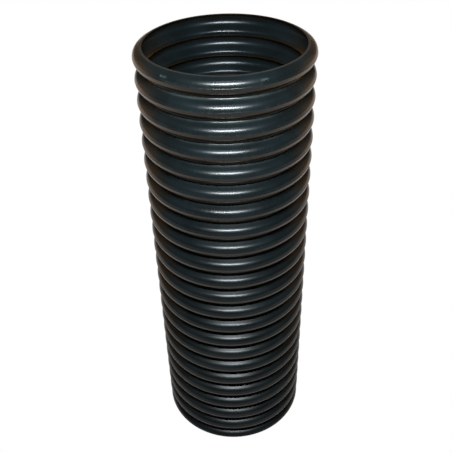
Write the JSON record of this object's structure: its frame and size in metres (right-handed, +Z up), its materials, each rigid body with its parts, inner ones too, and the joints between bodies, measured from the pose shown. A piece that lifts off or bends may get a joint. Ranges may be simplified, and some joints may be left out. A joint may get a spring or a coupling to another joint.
{
  "type": "corrugated well casing pipe",
  "caption": "Straight length of black corrugated plastic pipe with closed ring corrugations and square-cut ends, for lining a well, sump or inspection shaft.",
  "frame": {"origin": "centre of the pipe's lower cut end, on its axis", "axes": "+Z up along the pipe's axis; the pipe is round about it; -Y is the side seen in front"},
  "size_m": [0.3549, 0.355, 1],
  "materials": {
    "pipe": "black polyethylene as moulded, slightly waxy, with soft highlights"
  },
  "bodies": {
    "root": {"corrugated_pipe": "pipe"}
  },
  "joints": []
}
